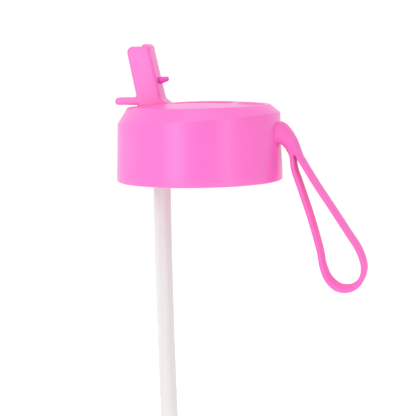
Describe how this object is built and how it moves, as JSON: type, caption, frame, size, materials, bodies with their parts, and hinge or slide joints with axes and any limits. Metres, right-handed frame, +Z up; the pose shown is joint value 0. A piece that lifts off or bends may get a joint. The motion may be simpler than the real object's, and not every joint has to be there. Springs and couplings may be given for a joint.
{
  "type": "straw lid of a kids water bottle",
  "caption": "Screw-on bottle lid with a flip-up drinking spout, a thumb tab, a vent plug, a long straw and a soft carry strap loop.",
  "frame": {"origin": "centre of the shell's bottom rim, on the lid's axis", "axes": "+Z up along the lid's axis, +X towards the carry strap, -X towards the spout's hinge"},
  "size_m": [0.1124, 0.075, 0.2268],
  "materials": {
    "pink_shell": "satin moulded polypropylene",
    "pink_spout": "satin moulded polypropylene",
    "strap_silicone": "soft moulded silicone",
    "plug_silicone": "soft moulded silicone",
    "clear_silicone": "translucent silicone",
    "straw": "translucent extruded polyethylene",
    "white_plastic": "moulded nylon"
  },
  "bodies": {
    "lid": {"lid_shell": "pink_shell", "thread_liner": "pink_shell", "neck_gasket": "clear_silicone", "port_seal": "clear_silicone", "vent_grommet": "clear_silicone", "strap_root": "strap_silicone", "strap_pin": "white_plastic"},
    "spout": {"spout": "pink_spout", "vent_plug": "plug_silicone"},
    "strap": {"carry_strap": "strap_silicone"},
    "straw": {"straw": "straw"}
  },
  "joints": [
    {"name": "spout_hinge", "type": "hinge", "parent": "lid", "child": "spout", "pos_m": [-0.0201, 0, 0.0282], "axis": [0, 1, 0], "range_deg": [0, 102]},
    {"name": "strap_flex", "type": "hinge", "parent": "lid", "child": "strap", "pos_m": [0.0413, 0, 0.019], "axis": [0, -1, 0], "range_deg": [-14, 110], "stiffness_Nm_per_rad": 0.04},
    {"name": "straw_pull", "type": "slide", "parent": "lid", "child": "straw", "axis": [0, 0, -1], "range_m": [0, 0.01]}
  ]
}
